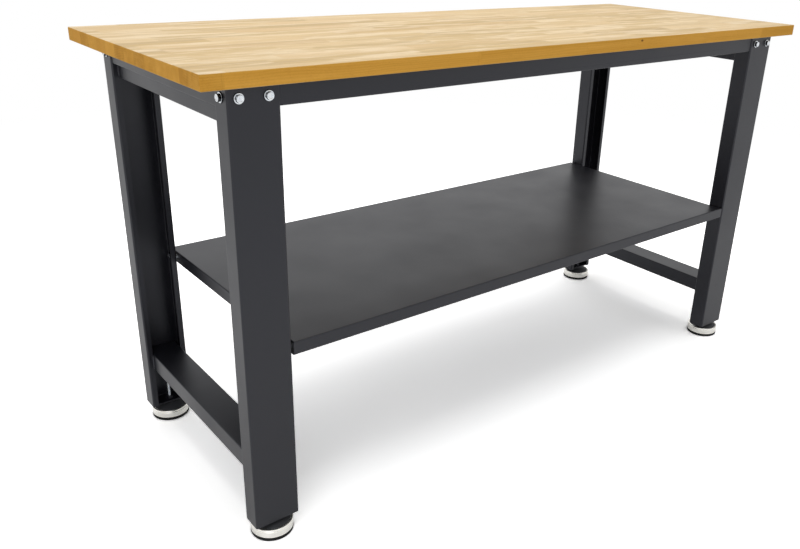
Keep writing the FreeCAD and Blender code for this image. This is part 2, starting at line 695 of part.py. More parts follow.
def check():
    """Stop if any object of the document failed or any sub-part has no valid shape."""
    doc.recompute()
    for thing in doc.Objects:
        if "Invalid" in thing.State or "Error" in thing.State:
            raise RuntimeError(f"{thing.Label}: {thing.State}")
    for thing in NODES:
        if thing.Shape.isNull() or not thing.Shape.isValid() or not thing.Shape.Solids:
            raise RuntimeError(f"{thing.Label} has no valid solid")
    if size("stud_top") > size("stretcher_top - stretcher_height"):
        raise RuntimeError("the levelling studs reach the lower stretchers")
    if size("stud_top - foot_travel") < size("leg_bottom + plate_thickness + weld_nut_height"):
        raise RuntimeError("the levelling studs leave their nuts when screwed out")


def export():
    """Write each sub-part's shape to its own file, and print its size."""
    os.makedirs("parts", exist_ok=True)
    for thing in NODES:
        thing.Shape.exportStep(f"parts/{thing.Label}.step")
        box = thing.Shape.BoundBox
        spans = ((box.XMin, box.XMax), (box.YMin, box.YMax), (box.ZMin, box.ZMax))
        text = "  ".join(f"{low:8.1f} {high:8.1f}" for low, high in spans)
        print(f"{thing.Label:28s} {len(thing.Shape.Solids):3d} solids  {text}")
    print(len(NODES), "sub-parts")


build()
check()
export()
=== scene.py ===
"""Assembly table: the finish of every surface, and the turned, threaded and welded pieces.

Metres throughout, in the part's own frame: +X along the top, +Y to the back, +Z up, floor at zero.
Profiles of turned pieces are written in millimetres.
"""
import json
import math

import bmesh
import bpy
import numpy as np
from mathutils import Matrix, Vector

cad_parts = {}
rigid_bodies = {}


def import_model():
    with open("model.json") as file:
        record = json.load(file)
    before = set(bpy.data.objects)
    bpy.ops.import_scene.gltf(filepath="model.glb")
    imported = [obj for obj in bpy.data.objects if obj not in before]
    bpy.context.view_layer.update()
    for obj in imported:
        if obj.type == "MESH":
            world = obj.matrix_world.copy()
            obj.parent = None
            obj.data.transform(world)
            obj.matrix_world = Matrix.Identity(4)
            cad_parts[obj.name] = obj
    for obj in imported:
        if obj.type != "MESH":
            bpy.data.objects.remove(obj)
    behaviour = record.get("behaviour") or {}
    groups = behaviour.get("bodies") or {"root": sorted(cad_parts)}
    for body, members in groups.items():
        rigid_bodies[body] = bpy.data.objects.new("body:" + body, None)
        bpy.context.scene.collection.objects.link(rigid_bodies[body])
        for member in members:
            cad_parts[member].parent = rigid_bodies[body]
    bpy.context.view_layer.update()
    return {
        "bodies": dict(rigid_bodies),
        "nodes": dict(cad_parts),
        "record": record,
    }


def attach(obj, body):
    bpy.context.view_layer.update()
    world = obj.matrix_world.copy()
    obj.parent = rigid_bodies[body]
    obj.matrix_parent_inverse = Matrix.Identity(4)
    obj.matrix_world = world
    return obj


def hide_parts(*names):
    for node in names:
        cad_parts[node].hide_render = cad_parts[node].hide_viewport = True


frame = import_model()

MM = 0.001
LEG_X, LEG_Y = 0.793, 0.310       # middle of a leg along X, outer face of its broad side
LEG_SIDE = 0.843                  # outer face of a leg's narrow side
FRAME_TOP = 0.956                 # underside of the worktop
FOOT_Y = 0.280                    # axis of the feet
CORNERS = {
    "front_left": (-1, -1), "front_right": (1, -1), "rear_left": (-1, 1), "rear_right": (1, 1),
}


# ---------------------------------------------------------------- view

CAMERA_PLACE = (-1.4115, -1.5630, 1.2073)
CAMERA_YAW = math.radians(39.96)
CAMERA_PITCH = math.radians(22.69)
CAMERA_ROLL = math.radians(2.08)
CAMERA_LENS = 36.14
CAMERA_SHIFT = (-0.0545, -0.0128)


def make_camera():
    """A camera in front of the left end, turned right, tipped down and rolled slightly."""
    data = bpy.data.cameras.new("camera")
    data.lens = CAMERA_LENS
    data.shift_x, data.shift_y = CAMERA_SHIFT
    camera = bpy.data.objects.new("camera", data)
    camera.matrix_world = (
        Matrix.Translation(CAMERA_PLACE)
        @ Matrix.Rotation(-CAMERA_YAW, 4, "Z")
        @ Matrix.Rotation(math.pi / 2 - CAMERA_PITCH, 4, "X")
        @ Matrix.Rotation(CAMERA_ROLL, 4, "Z")
    )
    bpy.context.collection.objects.link(camera)
    bpy.context.scene.camera = camera


# ---------------------------------------------------------------- shader nodes

def linear(code):
    """A colour written as sRGB hex, as the linear RGBA that a shader takes."""
    srgb = np.array([int(code[i:i + 2], 16) for i in (1, 3, 5)]) / 255
    light = np.where(srgb <= 0.04045, srgb / 12.92, ((srgb + 0.055) / 1.055) ** 2.4)
    return (*light.tolist(), 1.0)


def add(tree, kind, inputs=None, **settings):
    """Add a node: its own settings, and its inputs as values, nodes or other nodes' outputs.

    A node given as an input stands for its first output. So it does in all the functions below.
    """
    made = tree.nodes.new("ShaderNode" + kind)
    for name, value in settings.items():
        setattr(made, name, value)
    for key, value in (inputs or {}).items():
        if isinstance(value, bpy.types.Node):
            value = value.outputs[0]
        if isinstance(value, bpy.types.NodeSocket):
            tree.links.new(value, made.inputs[key])
        else:
            made.inputs[key].default_value = value
    return made


def calc(tree, operation, *values):
    """Arithmetic on numbers."""
    return add(tree, "Math", dict(enumerate(values)), operation=operation)


def calc_vector(tree, operation, *values):
    """Arithmetic on vectors, which are points, directions or colours."""
    return add(tree, "VectorMath", dict(enumerate(values)), operation=operation)


def weighted_sum(tree, total, *terms):
    """A total with terms added to it, each given as (value, weight)."""
    for value, weight in terms:
        total = calc(tree, "MULTIPLY_ADD", value, weight, total)
    return total


def remap(tree, value, source, target=(0.0, 1.0), **settings):
    """Take a value from the range source to the range target, and hold it within the target."""
    return add(tree, "MapRange", {
        "Value": value, "From Min": source[0], "From Max": source[1],
        "To Min": target[0], "To Max": target[1]}, **settings)


def noise(tree, place, scale, detail, **inputs):
    """Noise of so many waves to the metre: one number, or one for each axis."""
    if isinstance(scale, tuple):
        place, scale = calc_vector(tree, "MULTIPLY", place, scale), 1.0
    return add(tree, "TexNoise", {"Vector": place, "Scale": scale, "Detail": detail, **inputs})


def ramp(tree, value, *stops):
    """A colour ramp over a value, its stops given as (place, linear RGBA)."""
    made = add(tree, "ValToRGB", {"Fac": value})
    elements = made.color_ramp.elements
    while len(elements) < len(stops):
        elements.new(1.0)
    for element, (place, colour) in zip(elements, stops):
        element.position = place
        element.color = colour
    return made


def over(tree, share, colour, cover, **settings):
    """A colour under a share of another one, its cover."""
    mix = add(tree, "Mix", {0: share, 6: colour, 7: cover}, data_type="RGBA", **settings)
    return mix.outputs[2]


def bump(tree, height, strength, depth):
    """A normal bent by small waves of a depth in metres."""
    return add(tree, "Bump", {"Height": height, "Strength": strength, "Distance": depth})


def new_material(name):
    """An empty material and its node tree."""
    material = bpy.data.materials.new(name)
    material.use_nodes = True
    material.node_tree.nodes.clear()
    return material, material.node_tree


def finish_material(tree, shader):
    """Link the last shader to the output."""
    output = add(tree, "OutputMaterial")
    tree.links.new(shader.outputs[0], output.inputs["Surface"])


# ---------------------------------------------------------------- wood

TOP_END = 0.9            # the worktop's ends along X
STAVE = 0.052            # width of a glued stave
FIRST_STAVE = -0.313     # where the first whole stave starts; the one in front of it is ripped
STAVE_SHIFT = 17.37      # blocks between neighbouring staves, so that their joints don't line up
BLOCK = 0.30             # usual length of a finger-jointed block
UNEVEN = 0.75            # how much the blocks' lengths differ
FINGER = 0.002           # half the pitch of the fingers in a joint
FINGER_SLOPE = 4.0       # how much longer than wide a finger is
GLUE = 0.5 * MM          # how far a glue line darkens the wood
RING = 0.0042            # one year's growth
KNOT = (0.202, -0.342, 0.977)
KNOT_HEART, KNOT_RIM = 2 * MM, 6 * MM

FRONT_JOINTS = (-0.855, -0.308, 0.472, 0.735)      # joints of the front stave
FRONT_BLOCKS = (         # tone, hue and lean of the blocks between them, out of 255
    (56, 128, 140), (168, 90, 148), (110, 70, 120), (200, 102, 140), (120, 60, 110),
)


def wood_blocks(tree, x, y):
    """Which block a point is in, and the ways to its glue lines.

    The block is a colour of three random numbers. The first way is across to the stave's seams, in
    staves. The second is along to the block's joints, in metres.
    """
    across = calc(tree, "DIVIDE", calc(tree, "ADD", y, -FIRST_STAVE), STAVE)
    stave = calc(tree, "FLOOR", across)
    seam = calc(tree, "PINGPONG", across, 0.5)

    # the fingers of the joints show on the top as a zigzag
    finger = calc(tree, "PINGPONG", y, FINGER)
    along = calc(tree, "MULTIPLY_ADD", finger, FINGER_SLOPE, x)
    run = calc(tree, "MULTIPLY", along, 1 / BLOCK)
    spot = calc(tree, "MULTIPLY_ADD", stave, STAVE_SHIFT, run)
    cells = {"W": spot, "Scale": 1.0, "Randomness": UNEVEN}
    block = add(tree, "TexVoronoi", cells, voronoi_dimensions="1D")
    joint = add(tree, "TexVoronoi", cells, voronoi_dimensions="1D", feature="DISTANCE_TO_EDGE")
    gap = calc(tree, "MULTIPLY", joint.outputs["Distance"], BLOCK)

    # the front stave has longer blocks of its own
    front = calc(tree, "LESS_THAN", stave, -0.5)
    share = remap(tree, along, (-TOP_END, TOP_END))
    starts = [0.0] + [(edge + TOP_END) / (2 * TOP_END) for edge in FRONT_JOINTS]
    own = ramp(tree, share, *[
        (start, (*[level / 255 for level in levels], 1.0))
        for start, levels in zip(starts, FRONT_BLOCKS)])
    own.color_ramp.interpolation = "CONSTANT"
    near = 1.0
    for edge in FRONT_JOINTS:
        way = calc(tree, "ABSOLUTE", calc(tree, "SUBTRACT", along, edge))
        near = calc(tree, "MINIMUM", way, near)
    block = over(tree, front, block.outputs["Color"], own)
    gap = add(tree, "Mix", {0: front, 2: gap, 3: near})
    return block, seam, gap


def wood_grain(tree, place, block, x, lean):
    """Points in the trees that blocks were cut from, each at its own place and slightly aslant."""
    shifted = calc_vector(tree, "MULTIPLY_ADD", block, (3.0, 0.16, 0.12), place)
    tilt = calc(tree, "MULTIPLY", calc(tree, "SUBTRACT", lean, 0.5), 0.12)
    slide = calc(tree, "MULTIPLY", tilt, x)
    return calc_vector(tree, "ADD", shifted, add(tree, "CombineXYZ", {1: slide, 2: slide}))


def growth_rings(tree, grain):
    """Waves from -1 to 1 across the years, round the length of the tree, which sways."""
    middle = calc_vector(tree, "MULTIPLY", grain, (0.0, 1.0, 1.0))
    radius = calc_vector(tree, "LENGTH", middle).outputs["Value"]
    sway = calc(tree, "MULTIPLY", noise(tree, grain, (3.0, 14.0, 14.0), 2.0), 6.0)
    year = calc(tree, "MULTIPLY_ADD", radius, 1 / RING, sway)
    return calc(tree, "SINE", calc(tree, "MULTIPLY", year, 2 * math.pi))


def glued_wood():
    """Rubberwood: short blocks, finger-jointed into staves and edge-glued, sanded and varnished.

    The eye sees golden blocks of slightly different tone, long soft streaks, fine pores, faint
    growth rings that show as arcs on the ends, and thin glue lines. The varnish gives the top a
    pale sheen at low angles.
    """
    material, tree = new_material("varnished_rubberwood")
    coordinates = add(tree, "TexCoord").outputs
    place = coordinates["Object"]
    x, y = add(tree, "SeparateXYZ", {0: place}).outputs[:2]
    block, seam, gap = wood_blocks(tree, x, y)
    tone, hue, lean = add(tree, "SeparateColor", {0: block}).outputs

    grain = wood_grain(tree, place, block, x, lean)
    ring = growth_rings(tree, grain)
    streak = noise(tree, grain, (1.6, 42.0, 42.0), 3.0, Roughness=0.55)
    flame = noise(tree, grain, (3.6, 30.0, 30.0), 5.0, Roughness=0.62, Distortion=0.3)
    fibre = noise(tree, grain, (9.0, 420.0, 420.0), 2.0)
    pore = noise(tree, grain, (300.0, 2400.0, 2400.0), 0.0)

    # one on the upper and lower faces, nought on the edges
    upward = add(tree, "SeparateXYZ", {0: coordinates["Normal"]}).outputs["Z"]
    flat = remap(tree, calc(tree, "ABSOLUTE", upward), (0.3, 0.8))

    level = weighted_sum(tree, 0.06, (tone, 0.38), (streak, 0.44), (fibre, 0.14), (ring, 0.045))
    colour = ramp(tree, level,
                  (0.25, linear("#B4914A")), (0.45, linear("#C8A662")), (0.68, linear("#D7B67A")))
    figure = weighted_sum(tree, flame, (streak, 0.30), (fibre, 0.08), (ring, 0.012))
    # the pale figure is drawn stronger on the top and bottom than on the edges
    most = remap(tree, flat, (0.0, 1.0), (0.15, 0.85))
    pale = remap(tree, figure, (0.66, 0.84), (0.0, most), interpolation_type="SMOOTHSTEP")
    colour = over(tree, pale, colour, linear("#E8CFA4"))
    rosy = remap(tree, hue, (0.75, 1.0), (0.0, 0.14))
    colour = over(tree, rosy, colour, linear("#CC9A5C"))
    dark = remap(tree, pore, (0.66, 0.74), (0.0, 0.30))
    colour = over(tree, dark, colour, linear("#8A5A1C"))
    glue = calc(tree, "MAXIMUM", remap(tree, seam, (0.0, GLUE / STAVE), (0.35, 0.0)),
                remap(tree, gap, (0.0, GLUE), (0.35, 0.0)))
    colour = over(tree, glue, colour, linear("#8F6224"))
    from_knot = calc_vector(tree, "SUBTRACT", place, KNOT)
    from_knot = calc_vector(tree, "MULTIPLY", from_knot, (1.0, 1.0, 1.8))
    from_knot = calc_vector(tree, "LENGTH", from_knot).outputs["Value"]
    knot = remap(tree, from_knot, (KNOT_HEART, KNOT_RIM), (0.85, 0.0),
                 interpolation_type="SMOOTHSTEP")
    colour = over(tree, knot, colour, linear("#4A2B0E"))

    # the edges are drawn darker, warmer and matt
    edge_share = calc(tree, "SUBTRACT", 1.0, flat)
    colour = over(tree, edge_share, colour, (1.10, 0.81, 0.27, 1.0), blend_type="MULTIPLY")
    sheen = remap(tree, streak, (0.3, 0.7), (0.38, 0.46))
    sheen = add(tree, "Mix", {0: flat, 2: 0.85, 3: sheen})

    grit = calc(tree, "ADD", fibre, calc(tree, "MULTIPLY", pore, -0.6))
    shader = add(tree, "BsdfPrincipled", {
        "Base Color": colour, "Roughness": sheen, "IOR": 1.42,
        "Normal": bump(tree, grit, 0.25, 0.05 * MM)})
    finish_material(tree, shader)
    return material


# ---------------------------------------------------------------- metal and plastics

def powder_coat():
    """Black-grey polyester powder, sprayed on folded steel and baked.

    The eye sees an almost black, even skin with a fine orange peel, which takes a soft grey sheen
    from pale surroundings. The peel's real waves are about 1.5 mm long.
    """
    material, tree = new_material("powder_coated_steel")
    place = add(tree, "TexCoord").outputs["Object"]
    cloud = noise(tree, place, 7.0, 3.0)
    peel = noise(tree, place, 1 / (1.5 * MM), 1.0)
    dust = noise(tree, place, 1 / (0.5 * MM), 0.0)
    tone = ramp(tree, cloud, (0.3, linear("#0F0F14")), (0.7, linear("#131319")))
    speck = remap(tree, dust, (0.70, 0.78), (0.0, 0.25))
    skin = weighted_sum(tree, peel, (dust, 0.3))
    shader = add(tree, "BsdfPrincipled", {
        "Base Color": over(tree, speck, tone, linear("#3A3A3D")),
        "Roughness": remap(tree, cloud, (0.3, 0.7), (0.35, 0.42)), "IOR": 1.5,
        "Specular Tint": (0.90, 0.92, 1.0, 1.0), "Normal": bump(tree, skin, 0.5, 0.06 * MM)})
    finish_material(tree, shader)
    return material


def zinc_plate():
    """Steel, electroplated with zinc and passivated clear.

    The eye sees a bright, faintly blue metal with soft patches where the passivation is thicker.
    Painted shade, set by a point attribute on the pieces, darkens the sides of heads, the corners
    under them and the washers' rims, for shadow and the dark things they mirror.
    """
    material, tree = new_material("zinc_plated_steel")
    place = add(tree, "TexCoord").outputs["Object"]
    patch = noise(tree, place, 1 / (6 * MM), 3.0)
    grain = noise(tree, place, 1 / (0.4 * MM), 2.0)
    tone = ramp(tree, patch,
                (0.30, linear("#CDD3DA")), (0.55, linear("#DDE1E5")), (0.75, linear("#E2E0DA")))
    # painted shade: the attribute that darkens heads' sides, the corners under them and washers'
    # rims
    painted_shade = add(tree, "Attribute", attribute_name="painted_shade").outputs["Fac"]
    shader = add(tree, "BsdfPrincipled", {
        "Base Color": over(tree, painted_shade, tone, linear("#1C1D20")), "Metallic": 1.0,
        "Roughness": remap(tree, patch, (0.3, 0.7), (0.14, 0.24)),
        "Normal": bump(tree, grain, 0.3, 0.02 * MM)})
    finish_material(tree, shader)
    return material


def turned_steel():
    """Stainless steel, turned on a lathe and polished.

    The eye sees a nearly white metal with fine rings round it, which stretch its reflections up and
    down. The real tool marks are about 0.1 mm apart and are drawn 0.5 mm apart so that they show.
    """
    material, tree = new_material("turned_stainless_steel")
    place = add(tree, "TexCoord").outputs["Object"]
    rings = noise(tree, place, (8.0, 8.0, 1 / (0.5 * MM)), 2.0)
    smear = noise(tree, place, 1 / (15 * MM), 2.0)
    shader = add(tree, "BsdfPrincipled", {
        "Base Color": ramp(tree, smear, (0.3, linear("#E9E7E1")), (0.7, linear("#F4F2EC"))),
        "Metallic": 1.0, "Roughness": remap(tree, rings, (0.3, 0.7), (0.18, 0.30)),
        "Normal": bump(tree, rings, 0.25, 0.02 * MM)})
    finish_material(tree, shader)
    return material


def moulded_nylon():
    """Black glass-filled nylon, injection moulded in a spark-eroded tool.

    The eye sees a matt dark grey with a fine even grain.
    """
    material, tree = new_material("moulded_nylon")
    place = add(tree, "TexCoord").outputs["Object"]
    spark = noise(tree, place, 1 / (0.35 * MM), 2.0)
    flow = noise(tree, place, 1 / (20 * MM), 2.0)
    shader = add(tree, "BsdfPrincipled", {
        "Base Color": ramp(tree, flow, (0.3, linear("#2D2E31")), (0.7, linear("#36383B"))),
        "Roughness": remap(tree, flow, (0.3, 0.7), (0.48, 0.58)), "IOR": 1.53,
        "Normal": bump(tree, spark, 0.5, 0.06 * MM)})
    finish_material(tree, shader)
    return material


def moulded_rubber():
    """Black nitrile rubber, compression moulded.

    The eye sees a dull black with a trace of bloom and dust.
    """
    material, tree = new_material("nitrile_rubber")
    place = add(tree, "TexCoord").outputs["Object"]
    bloom = noise(tree, place, 1 / (8 * MM), 4.0)
    grain = noise(tree, place, 1 / (0.4 * MM), 1.0)
    shader = add(tree, "BsdfPrincipled", {
        "Base Color": ramp(tree, bloom, (0.35, linear("#0B0B0B")), (0.75, linear("#151515"))),
        "Roughness": 0.78, "IOR": 1.48, "Specular IOR Level": 0.3,
        "Normal": bump(tree, grain, 0.4, 0.05 * MM)})
    finish_material(tree, shader)
    return material


MATERIALS = {
    "glued_wood": glued_wood(),
    "powder_coat": powder_coat(),
    "zinc_plate": zinc_plate(),
    "bright_steel": turned_steel(),
    "moulded_nylon": moulded_nylon(),
    "rubber": moulded_rubber(),
}


def dress_nodes():
    """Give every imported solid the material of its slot."""
    for part in frame["record"]["subparts"]:
        node = frame["nodes"][part["node"]]
        node.data.materials.clear()
        node.data.materials.append(MATERIALS[part["material_slot"]])


# ---------------------------------------------------------------- surfaces

SHARP = math.radians(32)      # edges that turn by more stay sharp
MERGE = 0.002 * MM            # points nearer to each other than this are one
COPY_TURN = 2.4               # radians from one copy of a fastener to the next


def make_piece(name, points, body, slot, replaced=(), painted_shade=None):
    """A piece from equal grids of points, shaped (copies, rows, columns, 3), in metres.

    Rows follow one another along the profile, and the last column joins the first. Points that fall
    together, as at a pole or a square corner, are merged. The painted shade, a darkening for shadow
    and dark reflections, is from 0 to 1 over the rows and columns of one grid.
    """
    copies, rows, columns = points.shape[:3]
    row, column = np.meshgrid(np.arange(rows - 1), np.arange(columns), indexing="ij")
    here = row * columns + column
    beside = row * columns + (column + 1) % columns
    quads = np.stack([here, beside, beside + columns, here + columns], -1).reshape(-1, 4)
    quads = (quads + np.arange(copies)[:, None, None] * rows * columns).reshape(-1, 4)
    mesh = bpy.data.meshes.new(name)
    mesh.from_pydata(points.reshape(-1, 3).tolist(), [], quads.tolist())
    # painted shade, handed to the material as a point attribute
    if painted_shade is not None:
        layer = mesh.attributes.new("painted_shade", "FLOAT", "POINT")
        layer.data.foreach_set("value", np.tile(painted_shade.ravel(), copies))
    shape = bmesh.new()
    shape.from_mesh(mesh)
    bmesh.ops.remove_doubles(shape, verts=shape.verts, dist=MERGE)
    shape.to_mesh(mesh)
    shape.free()
    mesh.shade_smooth()
    mesh.set_sharp_from_angle(angle=SHARP)
    mesh.materials.append(MATERIALS[slot])
    piece = bpy.data.objects.new(name, mesh)
    bpy.context.collection.objects.link(piece)
    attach(piece, body)
    if replaced:
        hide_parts(*replaced)


def even_angles(columns):
    """Angles of evenly spaced columns round an axis."""
    return np.arange(columns) * (2 * np.pi / columns)


def corner_angles(columns):
    """Angles that crowd at the six corners of a hexagon.

    They are even turns, less 0.9 / 6 of the sine of six turns.
    """
    turn = even_angles(columns)
    return turn - 0.15 * np.sin(6 * turn)


def hexagon(flats, angle):
    """Distance from the middle to the side of a hexagon with softened corners.

    Each pair of flats bounds it at half the width across flats over the cosine of the angle to
    them; the three bounds are joined by a mean of high power.
    """
    facing = np.abs(np.cos(angle[:, None] - np.radians([30.0, 90.0, 150.0])))
    return flats / 2 * np.sum(facing ** 60, -1) ** (-1 / 60)


def chamfer_drop(corner, rim):
    """How far a 30 degree cone that leaves a nut's end at its rim has dropped at its corners."""
    return (corner - rim) * math.tan(math.radians(30))


def turned(radius, height, angle):
    """Points at a radius and height, in millimetres, swept round the upright axis.

    They are at r cos a, r sin a, z.
    """
    radius, height = np.broadcast_arrays(radius, height + 0 * angle)
    return np.stack([radius * np.cos(angle), radius * np.sin(angle), height], -1) * MM


def profile(angle, *rows):
    """Turned points of rows given as (radius, height), each a number or an array over the angle."""
    radius = np.stack([row[0] + 0 * angle for row in rows])
    height = np.stack([row[1] + 0 * angle for row in rows])
    return turned(radius, height, angle)


def rounded(corners, steps=6):
    """A profile of (radius, height, rounding) corners with each corner drawn as an arc.

    The arc's centre lies on the corner's bisector at rounding over the sine of half its angle, its
    ends on the two sides at rounding over the tangent, and its points turn evenly from one end to
    the other.
    """
    corners = np.array(corners, float)
    point, rounding = corners[:, :2], corners[:, 2:]
    before, after = np.roll(point, 1, 0) - point, np.roll(point, -1, 0) - point
    before /= np.linalg.norm(before, axis=1, keepdims=True)
    after /= np.linalg.norm(after, axis=1, keepdims=True)
    cosine = np.clip(np.sum(before * after, 1, keepdims=True), -0.999999, 0.999999)
    half = np.arccos(cosine) / 2
    middle = before + after
    middle /= np.maximum(np.linalg.norm(middle, axis=1, keepdims=True), 1e-9)
    centre = point + middle * rounding / np.sin(half)
    first = point + before * rounding / np.tan(half) - centre
    last = point + after * rounding / np.tan(half) - centre
    spin = (np.pi - 2 * half)[:, None]
    share = np.linspace(0, 1, steps)[None, :, None]
    start, end = np.sin((1 - share) * spin), np.sin(share * spin)
    arc = centre[:, None] + (start * first[:, None] + end * last[:, None]) / np.sin(spin)
    return arc.reshape(-1, 2)


def turned_profile(corners, columns=96, ring=False):
    """Turned points of a rounded profile; a ring's profile closes on itself."""
    line = rounded(corners)
    if ring:
        line = np.concatenate([line, line[:1]])
    angle = even_angles(columns)
    return turned(line[:, :1] + 0 * angle, line[:, 1:], angle)


def thread(low, high, tip, diameter, pitch, angle):
    """Turned points of a right-hand thread between two heights, of which one is its tip.

    It has ten rows to a pitch. The phase is the height in pitches less the turn. The ridge is a
    triangle wave of the phase with its crest cut flat over an eighth of a pitch and its root over a
    quarter, 0.61 of a pitch deep. It runs out over the pitch furthest from the tip, and a 45 degree
    cone bounds it at the tip.
    """
    height = np.linspace(low, high, int((high - low) / pitch * 10) + 1)[:, None] + 0 * angle
    phase = (height / pitch - angle / (2 * np.pi)) % 1
    ridge = np.clip((np.abs(2 * phase - 1) - 0.25) / 0.625, 0, 1)
    fade = np.clip(np.abs(height - (low + high - tip)) / pitch, 0, 1)
    radius = diameter / 2 - 0.61 * pitch * (1 - ridge) * fade
    cone = diameter / 2 - 0.7 * pitch + np.abs(height - tip)
    return turned(np.minimum(radius, cone), height, angle)


def stood(points, places, outwards):
    """Copies of a grid at each place (metres), its upright axis turned to each outward direction.

    The grid's axes become two directions square to the outward one, and the outward one itself.
    Each copy is turned on from the one before, so that no two heads stop at the same angle.
    """
    outwards = np.array(outwards, float)
    level = np.where(np.abs(outwards[:, :1]) > 0.5, [[0.0, 0.0, 1.0]], [[1.0, 0.0, 0.0]])
    turn = COPY_TURN * np.arange(len(outwards))[:, None]
    sideways = np.cos(turn) * level + np.sin(turn) * np.cross(outwards, level)
    third = np.cross(outwards, sideways)
    axes = np.stack([sideways, third, outwards], 1)
    return np.array(places)[:, None, None] + np.einsum("rcj,kji->krci", points, axes)


# ---------------------------------------------------------------- fasteners

HEX_COLUMNS = 60        # points round a hexagonal piece

# M8 hex bolts, in millimetres: diameter, pitch, width across flats and height of the head
BOLT, BOLT_PITCH, BOLT_FLATS, BOLT_HEAD = 8, 1.25, 13, 5.3
FRAME_BOLT_LENGTH, SHELF_BOLT_LENGTH = 15.3, 17.7       # from the seat of the head to the tip
WASHER_BORE, WASHER_RIM, WASHER_THICKNESS = 4.5, 10.25, 1.8     # the first two are radii

# where the bolts are, in metres
FRAME_BOLT_Z = FRAME_TOP - 0.0225
FRAME_BOLT_STEP = 0.028           # on the broad face, from the leg's middle
SIDE_BOLT_INSET = 0.024           # on the narrow side, from the broad face
SHELF_BOLT_X, SHELF_BOLT_Z = 0.746, 0.432
SHELF_BOLT_INSET = 0.0265         # middle of the two, from the broad face
SHELF_BOLT_STEP = 0.0085


def hex_bolt(length):
    """Points of a hex bolt: its seat at zero, its shank down from it and its head above.

    The head is a hexagon between a low washer face and a chamfer cone, and its end is dished.
    """
    angle = corner_angles(HEX_COLUMNS)
    rim, corner = 0.95 * BOLT_FLATS / 2, hexagon(BOLT_FLATS, angle)
    shank = thread(-length, -BOLT_PITCH, -length, BOLT, BOLT_PITCH, angle)
    head = profile(
        angle, (BOLT / 2, 0), (rim, 0), (rim, 0.3), (corner, 0.3),
        (corner, BOLT_HEAD - chamfer_drop(corner, rim)), (rim, BOLT_HEAD),
        (0.74 * rim, BOLT_HEAD), (0.68 * rim, BOLT_HEAD - 0.35), (0, BOLT_HEAD - 0.45))
    return np.concatenate([profile(angle, (0, -length)), shank, head])


def bolt_painted_shade(bolt):
    """Painted shade, dark over a head's sides and fading to bright over its chamfer and middle."""
    radius, height = np.hypot(bolt[..., 0], bolt[..., 1]) / MM, bolt[..., 2] / MM
    below = np.clip((BOLT_HEAD - 0.1 - height) / 0.5, 0, 1)
    return below * np.clip((radius - 0.38 * BOLT_FLATS) / 0.5, 0, 1)


def washer_painted_shade(washer):
    """Painted shade where the bolt's head meets the washer, and round the washer's rim."""
    radius = np.hypot(washer[..., 0], washer[..., 1]) / MM
    return np.maximum(np.clip((7.4 - radius) / 0.6, 0, 1), np.clip((radius - 9.3) / 0.4, 0, 1))


def frame_bolt_places(off):
    """Where the frame bolts sit, at a distance off the legs' faces, and which way they face.

    Each leg has two on its broad face and one on its narrow side.
    """
    places, outwards = [], []
    for right, rear in CORNERS.values():
        places += [(right * LEG_X + step * FRAME_BOLT_STEP, rear * (LEG_Y + off), FRAME_BOLT_Z)
                   for step in (-1, 1)]
        places.append((right * (LEG_SIDE + off), rear * (LEG_Y - SIDE_BOLT_INSET), FRAME_BOLT_Z))
        outwards += [(0, rear, 0), (0, rear, 0), (right, 0, 0)]
    return places, outwards


def shelf_bolt_places():
    """Where the shelf bolts' heads seat inside the legs, and which way they face."""
    places, outwards = [], []
    for right, rear in CORNERS.values():
        places += [
            (right * SHELF_BOLT_X, rear * (LEG_Y - SHELF_BOLT_INSET + step * SHELF_BOLT_STEP),
             SHELF_BOLT_Z) for step in (-1, 1)]
        outwards += [(right, 0, 0)] * 2
    return places, outwards


def make_fasteners():
    """Bolts with heads, threads and domed washers in place of the plain ones."""
    bolt = hex_bolt(FRAME_BOLT_LENGTH)
    heads = stood(bolt, *frame_bolt_places(WASHER_THICKNESS * MM))
    make_piece("threaded_frame_bolts", heads, "root", "zinc_plate", ["frame_bolts"],
               bolt_painted_shade(bolt))
    washer = turned_profile([
        (WASHER_BORE, 0, 0.1), (WASHER_RIM, 0, 0.3), (WASHER_RIM, 0.9, 0.4), (9.7, 1.3, 0.2),
        (8.6, 1.7, 1.0), (7.4, 1.76, 0.1), (6.7, 1.78, 0.1), (WASHER_BORE, WASHER_THICKNESS, 0.2),
    ], 72, ring=True)
    make_piece("domed_frame_washers", stood(washer, *frame_bolt_places(0)), "root", "zinc_plate",
               ["frame_washers"], washer_painted_shade(washer))
    bolt = hex_bolt(SHELF_BOLT_LENGTH)
    make_piece("threaded_shelf_bolts", stood(bolt, *shelf_bolt_places()), "root", "zinc_plate",
               ["shelf_bolts"], bolt_painted_shade(bolt))


# ---------------------------------------------------------------- levelling feet

# radii of a foot, in millimetres
FOOT_RIM, BAND_BORE, LIP_BORE, STUD_BORE = 45.5, 43.5, 40, 5.08
# heights of a foot above the floor, in millimetres; the tread's grooves are as deep as TREAD
TREAD, PAD_TOP, SHOULDER, BAND_TOP, CAP_TOP, STUD_SEAT = 0.8, 8.5, 26.3, 27.5, 33, 12.7
# its M10 stud, in millimetres: diameter, pitch and widths across flats
STUD, STUD_PITCH, COLLAR_FLATS, SOCKET_FLATS = 10, 1.5, 17, 5
STUD_LOW, COLLAR_LOW, COLLAR_TOP, THREAD_LOW, STUD_TOP = 13, 33.3, 37.7, 38.2, 128      # heights


